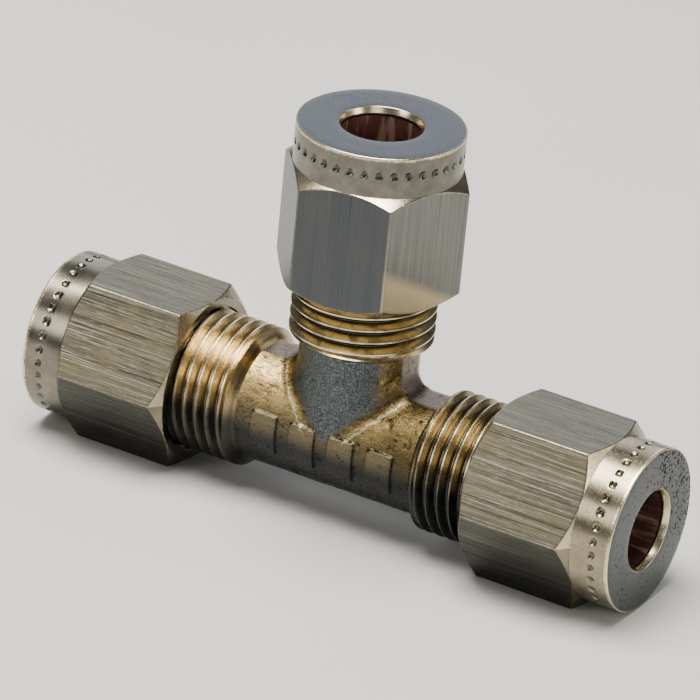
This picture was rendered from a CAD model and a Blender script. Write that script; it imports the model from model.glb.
"""An equal tee compression fitting in brass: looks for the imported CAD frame.

Lengths are in millimetres until a mesh is made, and the main ones are those of the CAD model. Each
port has a frame of its own, with +Z pointing out of the port from the crossing of the two axes.
"""

import math

import bmesh
import bpy
import numpy as np
from mathutils import Matrix, Vector, noise


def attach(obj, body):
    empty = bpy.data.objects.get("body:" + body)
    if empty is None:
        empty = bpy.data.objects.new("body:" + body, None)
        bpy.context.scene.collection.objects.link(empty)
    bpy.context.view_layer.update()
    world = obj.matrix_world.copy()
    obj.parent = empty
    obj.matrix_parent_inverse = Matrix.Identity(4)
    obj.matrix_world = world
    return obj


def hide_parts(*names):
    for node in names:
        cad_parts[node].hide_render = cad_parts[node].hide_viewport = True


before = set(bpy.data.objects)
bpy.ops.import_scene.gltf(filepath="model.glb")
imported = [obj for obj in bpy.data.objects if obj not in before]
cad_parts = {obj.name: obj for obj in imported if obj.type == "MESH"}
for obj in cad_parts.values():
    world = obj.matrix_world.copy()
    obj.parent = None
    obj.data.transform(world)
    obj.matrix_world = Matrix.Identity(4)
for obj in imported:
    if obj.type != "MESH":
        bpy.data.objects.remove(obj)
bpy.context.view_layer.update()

# ---------------------------------------------------------------- sizes, as in the CAD model

MM = 0.001
HEX_AF = 20.64
AXIS_HEIGHT = HEX_AF / 2
TUBE_R = 9.525 / 2

BARREL_R = 7.5
STEM_R = 7.35
FOOT_R = 2.6
THREAD_START = 12.7
PORT_REACH = 27.2
WATERWAY_R = 3.75  # midway between the CAD model's 3.8 along the run and 3.7 up the branch
SOCKET_CLEARANCE = 0.11
SOCKET_R = TUBE_R + SOCKET_CLEARANCE
TUBE_STOP = 16.0
SEAT_SLOPE = 0.346
SEAT_MOUTH_R = 6.3
SEAT_DEPTH = (SEAT_MOUTH_R - SOCKET_R) / SEAT_SLOPE

PITCH = 25.4 / 16
THREAD_R = 17.7 / 2
DEPTH_PER_PITCH = 0.6134
THREAD_DEPTH = DEPTH_PER_PITCH * PITCH
ROOT_R = THREAD_R - THREAD_DEPTH
CREST_CLEARANCE = 0.17
ROOT_CLEARANCE = 0.24
GROOVE_R = THREAD_R + CREST_CLEARANCE
LAND_R = ROOT_R + ROOT_CLEARANCE

NUT_LENGTH = 20.4
COLLAR_R = 20.5 / 2
COLLAR_LENGTH = 5.1
COLLAR_START = NUT_LENGTH - COLLAR_LENGTH
CHAMFER_SLOPE = math.tan(math.radians(35))
FACE_STEP = 0.12
NUT_FACE_R = HEX_AF / 2 - FACE_STEP
NUT_CLEARANCE = 0.09
NUT_BORE_R = TUBE_R + NUT_CLEARANCE
MOUTH_STEP = 0.12
MOUTH_R = GROOVE_R + MOUTH_STEP
MOUTH_DEPTH = 0.9
FEMALE_THREAD_END = 8.4
RELIEF_END = 9.6
CHAMBER_R = 6.8
LIP_WIDTH = 0.3
LIP_R = NUT_BORE_R + LIP_WIDTH
LIP_DEPTH = 0.8
LIP_FOOT = 0.3
BORE_START = NUT_LENGTH - LIP_DEPTH - LIP_FOOT
RIM = 0.35

OLIVE_R = 12.5 / 2
OLIVE_LENGTH = 7.0
OLIVE_GAP = 0.05
OLIVE_CLEARANCE = 0.08
OLIVE_BORE_R = TUBE_R + OLIVE_CLEARANCE
OLIVE_NOSE_R = 5.35
OLIVE_TAIL_R = 5.4
OLIVE_TAIL = 2.1
OLIVE_NOSE = (OLIVE_R - OLIVE_NOSE_R) / SEAT_SLOPE
OLIVE_SEATED = PORT_REACH - (SEAT_MOUTH_R - OLIVE_NOSE_R) / SEAT_SLOPE + OLIVE_GAP

# From a nut's open face to the far end of the olive that it pushes, and what follows from that.
OLIVE_REACH = 11.5
CONE_END = OLIVE_REACH + OLIVE_TAIL_R + 2 * OLIVE_GAP - NUT_BORE_R
TIGHT_FACE = OLIVE_SEATED + OLIVE_LENGTH - OLIVE_REACH

# How far each nut stands back from hand tight, and the turn of its hexagon in degrees.
BACK_OFF = {"left": PITCH / 2, "right": PITCH / 2, "branch": 0.0}
HEX_TURN = {"left": 30.0, "right": 30.0, "branch": 8.5}
PORTS = ("left", "right", "branch")

# Moves each nut through the noise of its materials, so that no two nuts have the same marks.
NOISE_SHIFT = {"left": (0, 0, 0), "right": (0, 0, 170), "branch": (0, 0, 410)}

# Rows are the port's own axes in the row frame.
PORT_AXES = {
    "left": np.array([[0, 0, 1], [0, 1, 0], [-1, 0, 0]], float),
    "right": np.array([[0, 0, -1], [0, 1, 0], [1, 0, 0]], float),
    "branch": np.eye(3),
}


def to_row(points, port):
    """Points in a port's frame, in mm, to the row frame, still in mm."""
    return points @ PORT_AXES[port] + np.array([0, 0, AXIS_HEIGHT])


# ---------------------------------------------------------------- meshes from grids of points

SMOOTH_BELOW = 34.0  # degrees between two faces
WELD_WITHIN = 0.002 * MM
SLIVER_WITHIN = 0.001 * MM


class Patchwork:
    """Collects grids of points, each with a material, and makes one welded mesh of them.

    The masks go to the materials, from 0 to 1 at each point: turned chamfers, stamped dots, end
    faces, worn edges, and raised pads.
    """

    MASKS = ("turned", "dots", "face", "edge", "raised")

    def __init__(self):
        self.points = []
        self.local = []
        self.masks = {name: [] for name in self.MASKS}
        self.faces = []
        self.slots = []
        self.count = 0

    def add(self, points, local, slot, **masks):
        """A grid of rows and columns of points, with their place in the port's frame."""
        rows, columns = points.shape[:2]
        index = np.arange(rows * columns).reshape(rows, columns) + self.count
        corners = [index[:-1, :-1], index[:-1, 1:], index[1:, 1:], index[1:, :-1]]
        quads = np.stack([c.ravel() for c in corners], axis=1)
        self.points.append(points.reshape(-1, 3))
        self.local.append(local.reshape(-1, 3))
        for name, values in self.masks.items():
            values.append(np.broadcast_to(masks.get(name, 0.0), (rows, columns)).ravel())
        self.faces.append(quads)
        self.slots.append(np.full(len(quads), slot))
        self.count += rows * columns

    def mesh(self, name, materials):
        points = np.concatenate(self.points) * MM
        mesh = bpy.data.meshes.new(name)
        mesh.from_pydata(points, [], np.concatenate(self.faces))
        mesh.polygons.foreach_set("material_index", np.concatenate(self.slots).astype(np.int32))
        local = mesh.attributes.new("local", "FLOAT_VECTOR", "POINT")
        local.data.foreach_set("vector", np.concatenate(self.local).astype(np.float32).ravel())
        for mask_name, values in self.masks.items():
            mask = mesh.attributes.new(mask_name, "FLOAT", "POINT")
            mask.data.foreach_set("value", np.concatenate(values).astype(np.float32))
        for material in materials:
            mesh.materials.append(material)
        weld(mesh)
        mesh.polygons.foreach_set("use_smooth", np.ones(len(mesh.polygons), bool))
        mesh.set_sharp_from_angle(angle=math.radians(SMOOTH_BELOW))
        return mesh


class Lathe:
    """Adds surfaces turned about a port's axis to a patchwork, at heights above a start on it."""

    def __init__(self, work, port, theta, start=0.0, shift=(0, 0, 0)):
        self.work = work
        self.port = port
        self.theta = theta
        self.start = start
        self.shift = shift

    def grid(self, radius, height, slot, **masks):
        """A surface from radius and height, each of shape (rows, columns) or (rows, 1)."""
        local = turned_grid(radius, height + self.start, self.theta)
        self.work.add(to_row(local, self.port), local + self.shift, slot, **masks)

    def profile(self, corners, step, slot):
        """The surface that a line through (radius, height) corners sweeps."""
        rows = profile_rows(corners, step)
        self.grid(rows[:, :1], rows[:, 1:], slot)


def weld(mesh):
    """Joins points that meet, and removes the faces that this leaves with no area."""
    work = bmesh.new()
    work.from_mesh(mesh)
    bmesh.ops.remove_doubles(work, verts=work.verts, dist=WELD_WITHIN)
    bmesh.ops.dissolve_degenerate(work, edges=work.edges, dist=SLIVER_WITHIN)
    loose = [v for v in work.verts if not v.link_faces]
    bmesh.ops.delete(work, geom=loose, context="VERTS")
    bmesh.ops.recalc_face_normals(work, faces=work.faces)
    work.to_mesh(mesh)
    work.free()


def place(name, mesh, body, slot, *replaced):
    """Adds a mesh that rides on a body, has a material slot, and is seen instead of CAD nodes."""
    piece = bpy.data.objects.new(name, mesh)
    bpy.context.scene.collection.objects.link(piece)
    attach(piece, body)
    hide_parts(*replaced)


def turned_grid(radius, height, theta):
    """Grid of points from radius and height, each of shape (rows, columns) or (rows, 1)."""
    radius, height = np.broadcast_arrays(radius, height)
    radius = np.broadcast_to(radius, (radius.shape[0], len(theta)))
    height = np.broadcast_to(height, radius.shape)
    return np.stack([radius * np.cos(theta), radius * np.sin(theta), height], axis=2)


def soft_min(values, width):
    """Smallest of several arrays, rounded where two of them meet."""
    stack = np.stack(np.broadcast_arrays(*values))
    low = stack.min(axis=0)
    return low - width * np.log(np.exp((low - stack) / width).sum(axis=0))


def profile_rows(corners, step):
    """Points along a line through (radius, height) corners, about a step apart."""
    rows = [corners[0]]
    for (r0, z0), (r1, z1) in zip(corners, corners[1:]):
        pieces = max(1, round(math.hypot(r1 - r0, z1 - z0) / step))
        for k in range(1, pieces + 1):
            t = k / pieces
            rows.append((r0 + (r1 - r0) * t, z0 + (z1 - z0) * t))
    return np.array(rows)


def rounded(corners, radius, steps=4):
    """The same corners, with every inner one replaced by an arc of its own radius."""
    out = [corners[0]]
    for before, here, after, r in zip(corners, corners[1:], corners[2:], radius):
        here = np.array(here, float)
        a = np.array(before, float) - here
        b = np.array(after, float) - here
        reach = min(r, np.linalg.norm(a) / 2, np.linalg.norm(b) / 2)
        start = here + a / np.linalg.norm(a) * reach
        end = here + b / np.linalg.norm(b) * reach
        for k in range(steps + 1):
            t = k / steps
            out.append(tuple((1 - t) ** 2 * start + 2 * t * (1 - t) * here + t ** 2 * end))
    out.append(corners[-1])
    return out


# ---------------------------------------------------------------- threads

CREST_HALF = 1 / 16
ROOT_HALF = CREST_HALF + THREAD_DEPTH * math.tan(math.radians(30)) / PITCH
ROOT_EASE = 0.03
FLANK = 0.22
WORN_END = 0.09
WORN_START = 0.055
WORN_HEIGHT = 0.93
MALE_KNOTS = (-0.5, -ROOT_HALF - ROOT_EASE, -ROOT_HALF + ROOT_EASE, -FLANK, -WORN_END, -WORN_START,
              WORN_START, WORN_END, FLANK, ROOT_HALF - ROOT_EASE, ROOT_HALF + ROOT_EASE)
FEMALE_KNOTS = (-0.5, -ROOT_HALF, -CREST_HALF, CREST_HALF, ROOT_HALF)


def thread_shape(u):
    """Height of a slightly worn 60 degree thread at u pitches: 0 at its root, 1 at its crest."""
    t = np.clip((ROOT_HALF - np.abs(u)) / (ROOT_HALF - CREST_HALF), 0, 1)
    worn = np.clip((WORN_END - np.abs(u)) / (WORN_END - WORN_START), 0, 1)
    return np.minimum(t, WORN_HEIGHT + (1 - WORN_HEIGHT) * worn)


def thread_rows(z0, z1, theta, knots):
    """Height and ridge of a right-handed thread from z0 to z1, as (rows, columns) arrays."""
    turns = np.arange(math.floor(z0 / PITCH) - 2, math.ceil(z1 / PITCH) + 2)
    at = (turns[:, None] + np.array(knots)[None, :]).ravel()
    height = PITCH * (at[:, None] + theta[None, :] / (2 * math.pi))
    ridge = np.tile(thread_shape(np.array(knots)), len(turns))
    return np.clip(height, z0, z1), np.broadcast_to(ridge[:, None], height.shape)


# ---------------------------------------------------------------- nuts

BAR, TURNED, BORE, THREAD = range(4)  # a nut's materials
COLUMNS_NUT = 480
CROWDING = 0.4
CORNER_SOFTNESS = 0.05
CHAMFER_SOFTNESS = 0.03
LOW_CHAMFER_END = 1.5
FLATS = (2.2, 13.3)
HIGH_CHAMFER_START = 13.5
TURNED_EASE = 0.08
WORN_CORNER = 0.06
RIM_ROUNDS = (RIM, 0.1, 0.2)
MOUTH_ROUNDS = (0.05, 0.12)
PLAIN_STEPS = 1.2
MOUTH_STEPS = 0.6
LEVEL_WITHIN = 0.01
THREAD_END_SLOPE = 3

DOT_R = 0.5
DOT_DEPTH = 0.24
DOT_PITCH = 1.8
DOT_RING = COLLAR_START + 0.55 * COLLAR_LENGTH
DOT_STEPS = 0.13


def nut_angles(port):
    """Angles round a nut, closer together at the corners of its hexagon."""
    even = np.linspace(0, 2 * math.pi, COLUMNS_NUT + 1)
    return even - CROWDING * np.sin(6 * (even - math.radians(HEX_TURN[port]))) / 6


def hexagon_radius(theta, port):
    """Radius of the hexagonal bar, with its corners just taken off."""
    least = 0.3  # for the flats that face away, which the nearer ones lie inside
    flats = [math.radians(HEX_TURN[port] + 30 + 60 * k) for k in range(6)]
    facing = [np.maximum(np.cos(theta - a), least) for a in flats]
    return soft_min([HEX_AF / 2 / c for c in facing], CORNER_SOFTNESS)


def dots(theta, height):
    """Depth of the ring of round stamped dots on the collar, and how far into a dot a point is."""
    count = round(2 * math.pi * COLLAR_R / DOT_PITCH)
    along = (theta / (2 * math.pi) * count + 0.5) % 1 - 0.5
    across = np.hypot(along[None, :] * 2 * math.pi * COLLAR_R / count, height - DOT_RING)
    inside = np.clip(1 - (across / DOT_R) ** 2, 0, 1)
    return DOT_DEPTH * inside ** 0.6, inside


def nut_bar(lathe):
    """From the open face up over the flats, with their turned chamfers, to the foot of the collar."""
    low = np.linspace(0, LOW_CHAMFER_END, 18)
    middle = np.linspace(*FLATS, 7)
    high = np.linspace(HIGH_CHAMFER_START, COLLAR_START, 24)
    height = np.concatenate([low, middle, high])[:, None]
    chamfer = np.minimum(NUT_FACE_R + height / CHAMFER_SLOPE,
                         COLLAR_R + (COLLAR_START - height) / CHAMFER_SLOPE)
    bar = hexagon_radius(lathe.theta, lathe.port)[None, :]
    radius = soft_min([bar, chamfer], CHAMFER_SOFTNESS)
    radius[0, :] = NUT_FACE_R
    radius[-1, :] = COLLAR_R
    turned = np.clip(0.5 + (bar - chamfer) / TURNED_EASE, 0, 1)
    edge = np.clip(1 - (bar.max() - bar) / WORN_CORNER, 0, 1)
    lathe.grid(radius, height, BAR, turned=turned, edge=edge)


def nut_collar(lathe):
    """The collar with its dots, then its rounded rim, the end face and the lip of the bore."""
    rows = profile_rows([(COLLAR_R, COLLAR_START), (COLLAR_R, NUT_LENGTH - RIM)], DOT_STEPS)
    depth, inside = dots(lathe.theta, rows[:, 1:])
    lathe.grid(COLLAR_R - depth, rows[:, 1:], TURNED, dots=inside)
    rim = rounded([(COLLAR_R, NUT_LENGTH - RIM), (COLLAR_R, NUT_LENGTH), (LIP_R, NUT_LENGTH),
                   (NUT_BORE_R, NUT_LENGTH - LIP_DEPTH), (NUT_BORE_R, BORE_START)],
                  RIM_ROUNDS)
    rows = profile_rows(rim, PLAIN_STEPS)
    on_face = rows[:, 1:] > NUT_LENGTH - LEVEL_WITHIN
    on_edge = ~on_face & (rows[:, 1:] > NUT_LENGTH - LIP_DEPTH)
    lathe.grid(rows[:, :1], rows[:, 1:], TURNED, face=on_face, edge=on_edge)


def nut_inside(lathe):
    """The bore, the cone that presses on the olive, and the chamber up to the thread."""
    lathe.profile([(NUT_BORE_R, BORE_START), (NUT_BORE_R, CONE_END),
                   (CHAMBER_R, CONE_END - (CHAMBER_R - NUT_BORE_R)), (CHAMBER_R, RELIEF_END),
                   (MOUTH_R, RELIEF_END), (MOUTH_R, FEMALE_THREAD_END),
                   (LAND_R, FEMALE_THREAD_END)], PLAIN_STEPS, BORE)


def nut_thread(lathe):
    """The thread, in step with the body's, from its inner end down to the mouth and the open face."""
    low = lathe.start + MOUTH_DEPTH
    high = lathe.start + FEMALE_THREAD_END
    height, ridge = thread_rows(low, high, lathe.theta, FEMALE_KNOTS)
    height = height - lathe.start
    room = np.minimum(height - MOUTH_DEPTH, FEMALE_THREAD_END - height)
    radius = LAND_R + np.minimum((GROOVE_R - LAND_R) * ridge, room * THREAD_END_SLOPE)
    lathe.grid(radius[::-1], height[::-1], THREAD)
    mouth = rounded([(LAND_R, MOUTH_DEPTH), (MOUTH_R, MOUTH_DEPTH), (MOUTH_R, 0),
                     (NUT_FACE_R, 0)], MOUTH_ROUNDS, 2)
    lathe.profile(mouth, MOUTH_STEPS, TURNED)


def nut(port):
    """A compression nut, standing back from hand tight as far as the CAD model's does."""
    work = Patchwork()
    lathe = Lathe(work, port, nut_angles(port), TIGHT_FACE + BACK_OFF[port], NOISE_SHIFT[port])
    nut_bar(lathe)
    nut_collar(lathe)
    nut_inside(lathe)
    nut_thread(lathe)
    return work


# ---------------------------------------------------------------- olives

COLUMNS_OLIVE = 144
OLIVE_SEAM = 3.0  # where the outline starts and ends, in the bore
OLIVE_ROUNDS = (0.12, 0.12, 0.9, 0.9, 0.15, 0.12)
OLIVE_STEPS = 0.25


def olive(port):
    """An olive, as far back as its nut: a ring with a long front taper and a short back one."""
    work = Patchwork()
    theta = np.linspace(0, 2 * math.pi, COLUMNS_OLIVE + 1)
    lathe = Lathe(work, port, theta, OLIVE_SEATED + BACK_OFF[port])
    corners = [(OLIVE_BORE_R, OLIVE_SEAM), (OLIVE_BORE_R, 0), (OLIVE_NOSE_R, 0),
               (OLIVE_R, OLIVE_NOSE), (OLIVE_R, OLIVE_LENGTH - OLIVE_TAIL),
               (OLIVE_TAIL_R, OLIVE_LENGTH), (OLIVE_BORE_R, OLIVE_LENGTH),
               (OLIVE_BORE_R, OLIVE_SEAM)]
    lathe.profile(rounded(corners, OLIVE_ROUNDS), OLIVE_STEPS, 0)
    return work


# ---------------------------------------------------------------- body

FORGED, CUT, INSIDE = range(3)  # the body's materials
PAD_PITCH = 5.4
PAD_HALF = (1.8, 2.6)
PAD_DROP = 0.5
PAD_RISE = 0.35
PAD_EDGE = 0.3
PAD_CORNER = 0.35
FLASH_HALF = 2.1
FLASH_CUT = 0.26
BEAD_RISE = 0.12
BEAD_WIDTH = 0.32
BEAD_OUT = 1.1
BEAD_FOOT = 1.0
BEAD_EASE = 1.5
FOOT_LEAST = 0.02

RAMP_START = THREAD_START - 0.45
RAMP_END = THREAD_START + 0.5
RAMP_TOP_R = THREAD_R - 0.04
RUN_OUT_SLOPE = 1.1
THREAD_END = PORT_REACH - 0.05
BEVEL_SLOPE = 1.2
END_BREAK = 0.1
INSIDE_STEPS = 1.5

# The front of an arm, in degrees round it, where the pads are and the columns are closer.
FRONT = (238, 302)
COLUMNS_FRONT = 73
COLUMNS_REST = 125
ROW_STEP = 0.27
ROW_MARGIN = 0.2
EDGE_ROWS = (-0.11, -0.05, 0.05, 0.11)

# Radii between which the forged skin lies, and how often the gap between them is halved.
SKIN_LOW = 5.5
SKIN_HIGH = 13.0
HALVINGS = 24


def ramp_up(distance, width):
    """0 below -width / 2, 1 above width / 2, eased between them."""
    t = np.clip(0.5 + distance / width, 0, 1)
    return t * t * (3 - 2 * t)


def pad_mask(x, z):
    """1 on the plain raised pads on the front of the barrel and 0 off them."""
    nearest = np.clip(np.floor(x / PAD_PITCH), -2, 1) + 0.5
    dx = np.abs(x - nearest * PAD_PITCH) - PAD_HALF[0] + PAD_CORNER
    dz = np.abs(z + PAD_DROP) - PAD_HALF[1] + PAD_CORNER
    away = np.hypot(np.maximum(dx, 0), np.maximum(dz, 0)) + np.minimum(np.maximum(dx, dz), 0)
    return ramp_up(PAD_CORNER - away, PAD_EDGE)


def forging(x, y, z):
    """Distance outside the forged surface: barrel, stem, fillets, pads and trimmed flash."""
    pads = np.where(y < 0, PAD_RISE * pad_mask(x, z), 0)
    bead = BEAD_RISE * np.exp(-((np.abs(x) - z - BEAD_OUT) / BEAD_WIDTH) ** 2)
    bead = bead * np.clip((z - BEAD_FOOT) / BEAD_EASE, 0, 1)
    barrel = np.hypot(y, z) - BARREL_R - pads - bead
    barrel = np.maximum(barrel, np.abs(z) - (BARREL_R - FLASH_CUT))
    stem = np.hypot(x, y) - STEM_R
    stem = np.maximum(stem, np.abs(x) - (STEM_R - FLASH_CUT))
    stem = np.maximum(stem, -z)
    fillet = FOOT_R * np.clip(1 - (y / BARREL_R) ** 2, FOOT_LEAST, 1)
    near_stem = np.maximum(fillet - stem, 0)
    near_barrel = np.maximum(fillet - barrel, 0)
    return np.maximum(fillet, np.minimum(stem, barrel)) - np.hypot(near_stem, near_barrel)


def lumps(points, size, seed):
    """Smooth noise from -1 to 1 at points in mm."""
    shift = Vector((seed * 7.1, seed * 3.7, seed * 5.3))
    flat = points.reshape(-1, 3)
    made = [noise.noise(Vector(q) / size + shift) for q in flat.tolist()]
    return np.array(made).reshape(points.shape[:-1])


def sand(points):
    """Height of the forging's own unevenness, in mm: swells, grains and a few pits."""
    pits = 0.13 * ramp_up(lumps(points, 1.1, 3) - 0.52, 0.16)
    swells = 0.05 * lumps(points, 2.3, 1)
    grains = 0.035 * lumps(points, 0.5, 2)
    return swells + grains - pits


def body_angles():
    """Angles round an arm of the body, closer together at the front, where the pads are."""
    front = np.radians(np.linspace(*FRONT, COLUMNS_FRONT))
    rest = np.radians(np.linspace(FRONT[1] - 360, FRONT[0], COLUMNS_REST))
    return np.concatenate([rest[:-1], front])


def body_rows():
    """Distances from the crossing along an arm, with close rows at the edges of the pads."""
    edges = [side + (k + 0.5) * PAD_PITCH for k in (0, 1) for side in (-PAD_HALF[0], PAD_HALF[0])]
    close = [edge + step for edge in edges for step in EDGE_ROWS]
    even = np.arange(0, RAMP_START, ROW_STEP)
    even = [d for d in even if min(abs(d - edge) for edge in edges) > ROW_MARGIN]
    return np.array(sorted(close + even + [RAMP_START]))


def arm_points(port, radius, distance, theta):
    """Points in the port's frame at a radius and distance, kept on this arm's own side."""
    if port == "branch":
        border = radius * np.abs(np.cos(theta))
    else:
        border = radius * np.maximum(np.cos(theta) * (1 if port == "left" else -1), 0)
    return turned_grid(radius, np.maximum(distance, border), theta)


def forged_arm(port, theta):
    """The forged skin of an arm, found by halving the gap between a radius in it and one out."""
    distance = body_rows()[:, None]
    low = np.full((len(distance), len(theta)), SKIN_LOW)
    high = np.full_like(low, SKIN_HIGH)
    for _ in range(HALVINGS):
        middle = (low + high) / 2
        row = arm_points(port, middle, distance, theta) @ PORT_AXES[port]
        inside = forging(row[..., 0], row[..., 1], row[..., 2]) < 0
        low = np.where(inside, middle, low)
        high = np.where(inside, high, middle)
    row = arm_points(port, low, distance, theta) @ PORT_AXES[port]
    fade = np.clip((RAMP_START - distance) / 0.5, 0, 1)
    return arm_points(port, low + sand(row) * fade, distance, theta)


def arm_skin(lathe):
    """The forged skin of an arm, with its pads marked, and the ramp from it up to the thread."""
    forged = forged_arm(lathe.port, lathe.theta)
    from_crossing = forged @ PORT_AXES[lathe.port]
    raised = pad_mask(from_crossing[..., 0], from_crossing[..., 2])
    raised = np.where(from_crossing[..., 1] < 0, raised, 0)
    lathe.work.add(to_row(forged, lathe.port), forged, FORGED, raised=raised)
    neck = np.hypot(forged[-1, :, 0], forged[-1, :, 1])
    share = np.linspace(0, 1, 7)[:, None]
    height = RAMP_START + (RAMP_END - RAMP_START) * share
    lathe.grid(neck + (RAMP_TOP_R - neck) * share ** 1.2, height, CUT)


def arm_thread(lathe):
    """The thread, which runs out into the ramp up from the body and has a bevelled start."""
    height, ridge = thread_rows(RAMP_END, THREAD_END, lathe.theta, MALE_KNOTS)
    run_out = RAMP_TOP_R - RUN_OUT_SLOPE * (height - RAMP_END)
    radius = np.maximum(ROOT_R + THREAD_DEPTH * ridge, run_out)
    radius = np.minimum(radius, RAMP_TOP_R + (height - RAMP_END))
    radius = np.minimum(radius, ROOT_R + (THREAD_END - height) * BEVEL_SLOPE)
    lathe.grid(radius, height, CUT)


def arm_inside(lathe):
    """The end face, the seat for the olive, the tube socket with its stop, and the waterway."""
    lathe.profile([(ROOT_R, THREAD_END), (ROOT_R - END_BREAK, PORT_REACH),
                   (SEAT_MOUTH_R, PORT_REACH), (SOCKET_R, PORT_REACH - SEAT_DEPTH),
                   (SOCKET_R, TUBE_STOP), (WATERWAY_R, TUBE_STOP)], INSIDE_STEPS, INSIDE)
    height = np.linspace(TUBE_STOP, 0, 8)[:, None]
    local = arm_points(lathe.port, np.full((1, 1), WATERWAY_R), height, lathe.theta)
    lathe.work.add(to_row(local, lathe.port), local, INSIDE)


def body():
    """The forged tee, as three arms that meet between their axes."""
    work = Patchwork()
    for port in PORTS:
        lathe = Lathe(work, port, body_angles())
        arm_skin(lathe)
        arm_thread(lathe)
        arm_inside(lathe)
    return work


# ---------------------------------------------------------------- materials

def new_material(name):
    material = bpy.data.materials.new(name)
    material.use_nodes = True
    tree = material.node_tree
    tree.nodes.clear()
    return material, tree


def put(tree, value, socket):
    """Links a node's output to a socket, or sets the socket to a number or a colour."""
    if isinstance(value, bpy.types.NodeSocket):
        tree.links.new(value, socket)
    elif isinstance(value, tuple):
        socket.default_value = (*value, 1.0)
    else:
        socket.default_value = value


def math_node(tree, operation, a, b=0.0, clamp=False):
    made = tree.nodes.new("ShaderNodeMath")
    made.operation = operation
    made.use_clamp = clamp
    put(tree, a, made.inputs[0])
    put(tree, b, made.inputs[1])
    return made.outputs[0]


def add(tree, a, b):
    return math_node(tree, "ADD", a, b)


def times(tree, a, b):
    return math_node(tree, "MULTIPLY", a, b)


def attribute(tree, name):
    made = tree.nodes.new("ShaderNodeAttribute")
    made.attribute_name = name
    return made


def stretched(tree, where, scale):
    made = tree.nodes.new("ShaderNodeVectorMath")
    made.operation = "MULTIPLY"
    put(tree, where, made.inputs[0])
    made.inputs[1].default_value = scale
    return made.outputs[0]


def three(scale):
    """A scale for each axis, from three or from one."""
    return scale if isinstance(scale, tuple) else (scale, scale, scale)


def port_place(tree, scale):
    """Place in the port's frame in mm, times one scale or a scale for each axis."""
    return stretched(tree, attribute(tree, "local").outputs["Vector"], three(scale))


def part_place(tree, scale):
    """Place in the piece's own frame in mm, times one scale or a scale for each axis."""
    where = tree.nodes.new("ShaderNodeTexCoord").outputs["Object"]
    return stretched(tree, where, [s / MM for s in three(scale)])


def split(tree, where):
    made = tree.nodes.new("ShaderNodeSeparateXYZ")
    put(tree, where, made.inputs[0])
    return made.outputs


def part_xyz(tree):
    """x, y and z in the piece's own frame, in mm."""
    return split(tree, part_place(tree, 1.0))


def underside(tree, start, full):
    """The tarnished underside: 0 above one height from the run's axis, in mm, 1 below another."""
    height = part_xyz(tree)[2]
    return between(tree, times(tree, height, -1.0), -start - AXIS_HEIGHT, -full - AXIS_HEIGHT)


def lathe_radius(tree):
    """Distance from the port's axis, in mm."""
    x, y, _ = split(tree, attribute(tree, "local").outputs["Vector"])
    return math_node(tree, "SQRT", add(tree, times(tree, x, x), times(tree, y, y)))


def lathe_place(tree, scale):
    """(radius, 0, height) in the port's frame, so that noise at it makes rings."""
    height = split(tree, attribute(tree, "local").outputs["Vector"])[2]
    made = tree.nodes.new("ShaderNodeCombineXYZ")
    put(tree, times(tree, lathe_radius(tree), scale), made.inputs[0])
    put(tree, times(tree, height, scale), made.inputs[2])
    return made.outputs[0]


def noise_at(tree, where, detail=3.0, roughness=0.55):
    made = tree.nodes.new("ShaderNodeTexNoise")
    put(tree, where, made.inputs["Vector"])
    made.inputs["Scale"].default_value = 1.0
    made.inputs["Detail"].default_value = detail
    made.inputs["Roughness"].default_value = roughness
    return made.outputs["Fac"]


def ramp(tree, value, *stops):
    """Colour ramp with stops of (position, colour)."""
    made = tree.nodes.new("ShaderNodeValToRGB")
    elements = made.color_ramp.elements
    while len(elements) < len(stops):
        elements.new(0.5)
    for element, (position, colour) in zip(elements, stops):
        element.position = position
        element.color = (*colour, 1.0)
    put(tree, value, made.inputs["Fac"])
    return made.outputs["Color"]


def between(tree, value, low, high):
    """0 where the value is at or under low, and 1 where it is at or over high."""
    made = tree.nodes.new("ShaderNodeMapRange")
    made.interpolation_type = "SMOOTHSTEP"
    put(tree, value, made.inputs["Value"])
    made.inputs["From Min"].default_value = low
    made.inputs["From Max"].default_value = high
    return made.outputs["Result"]


def band(tree, value, middle, half_width):
    """1 where the value is at the middle of a band, down to 0 outside it."""
    off = math_node(tree, "ABSOLUTE", add(tree, value, -middle))
    return between(tree, times(tree, off, -1.0), -half_width, -0.3 * half_width)


def mix(tree, share, a, b):
    """Colour a, with a share of colour b over it."""
    made = tree.nodes.new("ShaderNodeMix")
    made.data_type = "RGBA"
    put(tree, share, made.inputs["Factor"])
    colours = [socket for socket in made.inputs if socket.type == "RGBA"]
    put(tree, a, colours[0])
    put(tree, b, colours[1])
    return next(socket for socket in made.outputs if socket.type == "RGBA")


def bump(tree, height, distance):
    """Normal of a surface with a height map whose range is a distance in mm."""
    made = tree.nodes.new("ShaderNodeBump")
    made.inputs["Distance"].default_value = distance * MM
    put(tree, height, made.inputs["Height"])
    return made.outputs["Normal"]


def surface(tree, colour, roughness, normal, metallic=1.0):
    shader = tree.nodes.new("ShaderNodeBsdfPrincipled")
    shader.inputs["Metallic"].default_value = metallic
    put(tree, colour, shader.inputs["Base Color"])
    put(tree, roughness, shader.inputs["Roughness"])
    if normal is not None:
        put(tree, normal, shader.inputs["Normal"])
    output = tree.nodes.new("ShaderNodeOutputMaterial")
    tree.links.new(shader.outputs[0], output.inputs["Surface"])


CREAM = (0.86, 0.74, 0.50)
TARNISH = (0.060, 0.072, 0.090)
FACE_GREY = (0.030, 0.041, 0.056)
STAIN = (0.013, 0.016, 0.021)
SILVER = (0.23, 0.23, 0.21)
OLIVE_GREY = (0.08, 0.076, 0.058)
DARK = (0.02, 0.018, 0.013)


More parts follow.
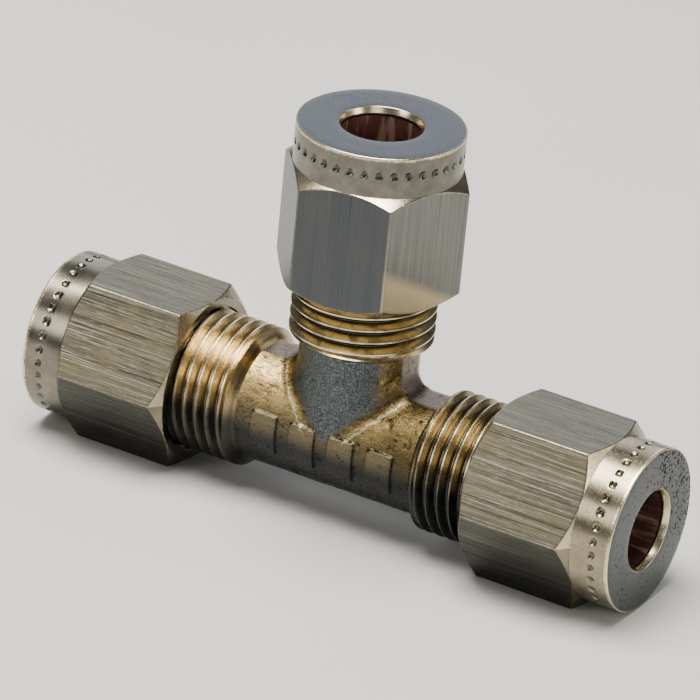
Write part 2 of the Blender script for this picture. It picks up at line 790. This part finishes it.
def cleaner_side(tree, tone):
    """The branch nut's right side, less tarnished than its front, and warmer at its foot."""
    x, y, z = part_xyz(tree)
    right = between(tree, x, 7.1, 7.7)
    foot = between(tree, add(tree, times(tree, z, -1.0), times(tree, y, -0.55)), -32.4, -30.2)
    streaks = noise_at(tree, port_place(tree, (3.0, 3.0, 0.06)), detail=4.0, roughness=0.7)
    tone = mix(tree, times(tree, right, add(tree, times(tree, streaks, 1.4), -0.05)), tone, SILVER)
    return mix(tree, times(tree, times(tree, right, foot), 0.8), tone, (0.60, 0.48, 0.29))


def hexagon_metal(name, contrast, tarnish, one_side_cleaner=False):
    """Satin drawn bar, scored along its length, with turned chamfers.

    Contrast is how strong its streaks are and tarnish how grey it is, each from 0 to 1.
    """
    material, tree = new_material(name)
    turned_part = attribute(tree, "turned").outputs["Fac"]
    edge = attribute(tree, "edge").outputs["Fac"]
    fine = noise_at(tree, port_place(tree, (6.0, 6.0, 0.05)), detail=4.0, roughness=0.6)
    short = noise_at(tree, port_place(tree, (7.5, 7.5, 0.45)), detail=3.0, roughness=0.6)
    broad = noise_at(tree, port_place(tree, (0.9, 0.9, 0.02)), detail=2.0)
    cloud = noise_at(tree, port_place(tree, 0.22), detail=3.0)
    grain = noise_at(tree, port_place(tree, (6.0, 6.0, 3.0)), detail=3.0, roughness=0.7)
    scores = between(tree, noise_at(tree, port_place(tree, (1.6, 1.6, 0.012)), detail=2.0), 0.60, 0.70)
    streaks = ramp(tree, fine, (0.33, (0.010, 0.009, 0.007)), (0.46, OLIVE_GREY),
                   (0.57, (0.14, 0.13, 0.10)), (0.67, (0.46, 0.44, 0.36)))
    tone = mix(tree, contrast, (0.105, 0.10, 0.08), streaks)
    dark_ticks = times(tree, between(tree, times(tree, short, -1.0), -0.46, -0.36), 0.6 * contrast)
    light_ticks = times(tree, between(tree, short, 0.56, 0.66), 0.5 * contrast)
    tone = mix(tree, dark_ticks, tone, DARK)
    tone = mix(tree, light_ticks, tone, (0.38, 0.36, 0.28))
    tone = mix(tree, times(tree, between(tree, grain, 0.45, 0.70), 0.45), tone, (0.05, 0.046, 0.034))
    tone = mix(tree, times(tree, between(tree, broad, 0.40, 0.65), 0.4), tone, (0.17, 0.155, 0.105))
    tone = mix(tree, times(tree, between(tree, cloud, 0.45, 0.75), 0.5), tone, (0.15, 0.125, 0.07))
    tone = mix(tree, times(tree, scores, 0.75 * contrast), tone, DARK)
    tone = mix(tree, times(tree, add(tree, short, 0.5), tarnish), tone, TARNISH)
    tone = mix(tree, times(tree, scores, 0.5 * tarnish), tone, STAIN)
    if one_side_cleaner:
        tone = cleaner_side(tree, tone)
    worn = times(tree, edge, min(1.0, 0.15 + contrast))
    tone = mix(tree, times(tree, worn, between(tree, grain, 0.30, 0.75)), tone, (0.60, 0.53, 0.38))
    bright = ramp(tree, cloud, (0.35, (0.34, 0.29, 0.19)), (0.60, (0.62, 0.54, 0.37)))
    tone = mix(tree, turned_part, tone, bright)
    tone = mix(tree, times(tree, underside(tree, 0.1, -0.1), 0.6), tone, STAIN)
    rough = add(tree, times(tree, grain, 0.18), 0.24)
    rough = add(tree, rough, times(tree, turned_part, -0.10))
    lines = add(tree, fine, times(tree, scores, -0.4))
    height = add(tree, times(tree, lines, contrast), times(tree, grain, 0.3))
    surface(tree, tone, rough, bump(tree, height, 0.035))
    return material


def turned_metal(name, pitting, tarnish):
    """Turned collar and end face, with rings from the tool, some pits, and dirt in the dots."""
    material, tree = new_material(name)
    in_dot = attribute(tree, "dots").outputs["Fac"]
    face = attribute(tree, "face").outputs["Fac"]
    edge = attribute(tree, "edge").outputs["Fac"]
    rings = noise_at(tree, lathe_place(tree, 4.0), detail=3.0)
    cloud = noise_at(tree, port_place(tree, 0.30), detail=4.0)
    stained = noise_at(tree, port_place(tree, 0.7), detail=4.0, roughness=0.65)

    # The pits are crowded on one side of the nut.
    x, y, _ = split(tree, port_place(tree, (-0.035, 0.035, 1.0)))
    crowd = add(tree, noise_at(tree, port_place(tree, 0.25), detail=2.0), add(tree, x, y))
    crowd = between(tree, crowd, 0.55, 0.85)
    specks = noise_at(tree, port_place(tree, 2.8), detail=1.0)
    specks = between(tree, add(tree, specks, times(tree, crowd, 0.10)), 0.66, 0.71)
    specks = times(tree, times(tree, specks, add(tree, times(tree, face, 0.75), 0.25)), pitting)

    tone = ramp(tree, cloud, (0.30, (0.23, 0.20, 0.135)), (0.70, (0.38, 0.335, 0.235)))
    tone = mix(tree, times(tree, add(tree, stained, 0.25), tarnish), tone, TARNISH)
    tone = mix(tree, times(tree, face, 0.9), tone, FACE_GREY)
    tone = mix(tree, specks, tone, (0.004, 0.004, 0.004))
    tone = mix(tree, times(tree, edge, 0.8), tone, CREAM)
    tone = mix(tree, times(tree, between(tree, in_dot, 0.05, 0.8), 0.6), tone, DARK)
    rough = add(tree, times(tree, rings, 0.10), 0.13)
    rough = add(tree, add(tree, rough, times(tree, cloud, 0.12)), times(tree, specks, 0.4))
    surface(tree, tone, rough, bump(tree, rings, 0.008))
    return material


def bore_metal():
    """Inside of the bores: dark reddish brown, with lighter streaks and rings left by the drill."""
    material, tree = new_material("bore_brass")
    rings = noise_at(tree, lathe_place(tree, 2.5), detail=3.0)
    cloud = noise_at(tree, port_place(tree, 0.5), detail=3.0)
    streaks = between(tree, noise_at(tree, port_place(tree, (1.1, 1.1, 0.12)), detail=2.0), 0.50, 0.66)
    tone = ramp(tree, cloud, (0.30, (0.20, 0.085, 0.08)), (0.70, (0.36, 0.19, 0.175)))
    tone = mix(tree, times(tree, streaks, 0.65), tone, (0.86, 0.73, 0.66))
    rough = add(tree, times(tree, rings, 0.25), 0.32)
    surface(tree, tone, rough, bump(tree, rings, 0.03))
    return material


def thread_metal():
    """Cut threads and the ramps up to them: golden flanks, bright worn crests, and dark roots."""
    material, tree = new_material("thread_brass")
    height = times(tree, add(tree, lathe_radius(tree), -BARREL_R), 1 / (THREAD_R - BARREL_R))
    cloud = noise_at(tree, port_place(tree, 0.55), detail=4.0)
    fine = noise_at(tree, port_place(tree, 4.5), detail=2.0)
    tone = ramp(tree, height, (0.05, (0.42, 0.32, 0.16)), (0.22, (0.20, 0.16, 0.09)),
                (0.28, (0.025, 0.022, 0.016)), (0.38, (0.13, 0.105, 0.065)), (0.60, (0.52, 0.41, 0.215)),
                (0.93, (0.58, 0.47, 0.26)), (0.985, (0.62, 0.55, 0.40)))
    tone = mix(tree, times(tree, between(tree, cloud, 0.46, 0.68), 0.6), tone, (0.08, 0.072, 0.05))
    x = part_xyz(tree)[0]
    on_right = between(tree, x, 9.0, 13.0)
    on_left = between(tree, times(tree, x, -1.0), 9.0, 13.0)
    tone = mix(tree, times(tree, on_right, 0.45), tone, (0.13, 0.105, 0.06))
    tone = mix(tree, times(tree, on_left, 0.3), tone, (0.86, 0.64, 0.32))
    tone = mix(tree, times(tree, underside(tree, 4.0, -0.5), 0.93), tone, (0.022, 0.027, 0.032))
    rough = add(tree, times(tree, cloud, 0.18), 0.17)
    surface(tree, tone, rough, bump(tree, fine, 0.015))
    return material


def forging_zones(tree):
    """Where each finish of the forging is, by name, from 0 to 1."""
    x, y, z = part_xyz(tree)
    from_crossing = math_node(tree, "ABSOLUTE", x)
    from_parting = math_node(tree, "ABSOLUTE", y)
    loose = add(tree, noise_at(tree, part_place(tree, 1.0), detail=3.0), -0.5)
    up_stem = add(tree, add(tree, z, times(tree, from_crossing, -1.0)), times(tree, loose, 1.5))
    on_stem = between(tree, up_stem, AXIS_HEIGHT + 0.2, AXIS_HEIGHT + 1.6)
    to_front = between(tree, add(tree, from_parting, times(tree, loose, 3.0)), 3.6, 5.4)
    over_axis = between(tree, z, AXIS_HEIGHT + 1.2, AXIS_HEIGHT + 2.6)
    on_bead = times(tree, band(tree, up_stem, AXIS_HEIGHT - BEAD_OUT, 0.35), over_axis)
    raised = attribute(tree, "raised").outputs["Fac"]
    return {
        "blasted": times(tree, on_stem, to_front),
        "upper": between(tree, z, AXIS_HEIGHT + 1.0, AXIS_HEIGHT + 5.0),
        "right": between(tree, x, 4.0, 9.0),
        "corner": times(tree, band(tree, up_stem, AXIS_HEIGHT + 0.9, 1.4), over_axis),
        "bead": times(tree, on_bead, between(tree, from_parting, 2.4, 3.2)),
        "trimmed": between(tree, times(tree, from_parting, -1.0), -FLASH_HALF - 0.1, 0.3 - FLASH_HALF),
        "pads": raised,
        "pad_sides": times(tree, raised, add(tree, 1.0, times(tree, raised, -1.0))),
    }


def forged_metal():
    """The forging: blasted stem, worn golden barrel with pits, and the flash trimmed off it."""
    material, tree = new_material("forged_brass")
    zone = forging_zones(tree)
    grain = noise_at(tree, part_place(tree, 4.6), detail=4.0, roughness=0.75)
    wide = noise_at(tree, part_place(tree, 0.35), detail=3.0)
    along = noise_at(tree, part_place(tree, (0.8, 3.2, 3.2)), detail=4.0, roughness=0.7)
    pits = between(tree, noise_at(tree, part_place(tree, 0.9), detail=5.0), 0.61, 0.68)

    blasted = ramp(tree, grain, (0.32, (0.02, 0.028, 0.032)), (0.50, (0.075, 0.09, 0.095)),
                   (0.72, (0.26, 0.28, 0.27)))
    worn = ramp(tree, grain, (0.30, (0.03, 0.026, 0.016)), (0.50, (0.12, 0.10, 0.058)),
                (0.72, (0.36, 0.30, 0.18)))
    golden = ramp(tree, along, (0.34, (0.09, 0.06, 0.025)), (0.44, (0.34, 0.24, 0.095)),
                  (0.66, (0.62, 0.45, 0.19)))
    tone = mix(tree, between(tree, wide, 0.35, 0.70), worn, (0.16, 0.122, 0.06))
    tone = mix(tree, times(tree, zone["upper"], 0.85), tone, golden)
    tone = mix(tree, times(tree, zone["right"], 0.75), tone, (0.09, 0.066, 0.028))
    tone = mix(tree, times(tree, zone["pads"], 0.5), tone, (0.26, 0.22, 0.135))
    tone = mix(tree, math_node(tree, "MULTIPLY", zone["pad_sides"], 3.2, clamp=True), tone, DARK)
    tone = mix(tree, times(tree, underside(tree, 3.0, -1.6), 0.92), tone, STAIN)
    tone = mix(tree, times(tree, pits, 0.9), tone, (0.02, 0.016, 0.012))
    tone = mix(tree, times(tree, zone["corner"], 0.75), tone, (0.05, 0.034, 0.018))
    tone = mix(tree, times(tree, zone["bead"], 0.4), tone, CREAM)
    tone = mix(tree, zone["blasted"], tone, blasted)
    tone = mix(tree, times(tree, zone["trimmed"], 0.8), tone, (0.12, 0.10, 0.092))

    rough = add(tree, times(tree, grain, 0.30), 0.12)
    rough = add(tree, rough, times(tree, zone["blasted"], 0.10))
    sandy = add(tree, 0.4, times(tree, zone["blasted"], 0.5))
    height = add(tree, times(tree, grain, sandy), times(tree, pits, -0.7))
    height = add(tree, height, times(tree, times(tree, along, zone["upper"]), 0.25))
    surface(tree, tone, rough, bump(tree, height, 0.11))
    return material


def olive_metal():
    """Turned olives, a little redder and brighter than the rest."""
    material, tree = new_material("olive_brass")
    rings = noise_at(tree, lathe_place(tree, 4.0), detail=2.0)
    tone = ramp(tree, rings, (0.30, (0.56, 0.38, 0.17)), (0.70, (0.78, 0.58, 0.30)))
    rough = add(tree, times(tree, rings, 0.14), 0.15)
    surface(tree, tone, rough, bump(tree, rings, 0.015))
    return material


def floor_material():
    """Matt pale board with faint clouding."""
    material, tree = new_material("pale_floor")
    cloud = noise_at(tree, part_place(tree, 0.01), detail=2.0)
    tone = ramp(tree, cloud, (0.30, (0.52, 0.52, 0.51)), (0.70, (0.55, 0.55, 0.54)))
    surface(tree, tone, 0.7, None, metallic=0.0)
    return material


# ---------------------------------------------------------------- the pieces

turned_brass = {"left": turned_metal("left_turned_brass", pitting=0.4, tarnish=0.6),
                "right": turned_metal("right_turned_brass", pitting=1.0, tarnish=0.1),
                "branch": turned_metal("branch_turned_brass", pitting=0.2, tarnish=0.8)}
bore_brass = bore_metal()
thread_brass = thread_metal()
bar_brass = {"left": hexagon_metal("left_bar_brass", contrast=0.9, tarnish=0.0),
             "right": hexagon_metal("right_bar_brass", contrast=0.7, tarnish=0.0),
             "branch": hexagon_metal("branch_bar_brass", contrast=0.25, tarnish=0.72,
                                     one_side_cleaner=True)}
body_materials = [forged_metal(), thread_brass, bore_brass]
olive_materials = [olive_metal()]

place("forged_tee", body().mesh("forged_tee", body_materials),
      "tee_body", "forged_brass", "tee_body")
for port in PORTS:
    nut_materials = [bar_brass[port], turned_brass[port], bore_brass, thread_brass]
    place(f"{port}_compression_nut", nut(port).mesh(f"{port}_nut_shell", nut_materials),
          f"{port}_nut", "nut_brass", f"{port}_nut")
    place(f"{port}_compression_olive", olive(port).mesh(f"{port}_olive_ring", olive_materials),
          f"{port}_olive", "olive_brass", f"{port}_olive")

# ---------------------------------------------------------------- floor, lights and camera

FLOOR_DROP = 0.02 * MM
ROOM_COLOUR = (0.80, 0.86, 0.95, 1.0)
ROOM_STRENGTH = 0.12

# Name, position and width in metres, power in watts, and colour.
LIGHTS = (
    ("overhead", (-0.08, -0.06, 0.62), 0.42, 11.5, (1.0, 0.955, 0.87)),
    ("front_fill", (-0.42, -0.74, 0.44), 0.34, 1.9, (1.0, 0.96, 0.86)),
    ("back_fill", (-0.36, 0.66, 0.36), 0.50, 1.5, (0.95, 0.96, 1.0)),
    ("right_fill", (0.74, 0.12, 0.20), 0.26, 1.2, (1.0, 0.94, 0.82)),
    ("front_right_fill", (0.58, -0.58, 0.24), 0.40, 0.9, (1.0, 0.97, 0.92)),
    ("back_right_fill", (0.56, 0.48, 0.42), 0.40, 1.0, (1.0, 0.97, 0.92)),
)


def stage():
    """A board under the fitting, set down a hair so that the flats on it stay clear of it."""
    mesh = bpy.data.meshes.new("floor")
    half = 1.5  # metres
    mesh.from_pydata([(-half, -half, 0), (half, -half, 0), (half, half, 0), (-half, half, 0)], [],
                     [(0, 1, 2, 3)])
    mesh.materials.append(floor_material())
    floor = bpy.data.objects.new("floor", mesh)
    bpy.context.scene.collection.objects.link(floor)
    floor.location.z = -FLOOR_DROP


def area_light(name, position, size, power, colour):
    """A square soft light aimed at the middle of the fitting."""
    data = bpy.data.lights.new(name, "AREA")
    data.shape = "SQUARE"
    data.size = size
    data.energy = power
    data.color = colour
    light = bpy.data.objects.new(name, data)
    bpy.context.scene.collection.objects.link(light)
    light.location = position
    aim = Vector((0, 0, AXIS_HEIGHT * MM)) - light.location
    light.rotation_euler = aim.to_track_quat("-Z", "Y").to_euler()


def lights():
    """A large soft light overhead, weak ones all round, and a dim room."""
    for name, position, size, power, colour in LIGHTS:
        area_light(name, position, size, power, colour)
    world = bpy.data.worlds.new("studio")
    world.use_nodes = True
    background = world.node_tree.nodes["Background"]
    background.inputs["Color"].default_value = ROOM_COLOUR
    background.inputs["Strength"].default_value = ROOM_STRENGTH
    bpy.context.scene.world = world


def camera():
    """The photograph's view: azimuth, elevation and roll in degrees, lengths in mm."""
    azimuth, elevation, roll = (math.radians(a) for a in (28.493, 25.574, 5.575))
    distance, across, above = 808.99, -0.256, 9.441
    back = Vector((math.sin(azimuth) * math.cos(elevation),
                   -math.cos(azimuth) * math.cos(elevation), math.sin(elevation)))
    level = Vector((math.cos(azimuth), math.sin(azimuth), 0))
    upright = back.cross(level)
    right = math.cos(roll) * level + math.sin(roll) * upright
    up = math.cos(roll) * upright - math.sin(roll) * level
    data = bpy.data.cameras.new("photo_camera")
    data.sensor_width = 36.0
    data.lens = 343.28
    data.clip_start = 0.05
    data.clip_end = 20.0
    made = bpy.data.objects.new("photo_camera", data)
    bpy.context.scene.collection.objects.link(made)
    place_at = Vector((0, 0, AXIS_HEIGHT)) + distance * back + across * right + above * up
    turn = Matrix((right, up, back)).transposed().to_4x4()
    made.matrix_world = Matrix.Translation(place_at * MM) @ turn
    bpy.context.scene.camera = made


stage()
lights()
camera()
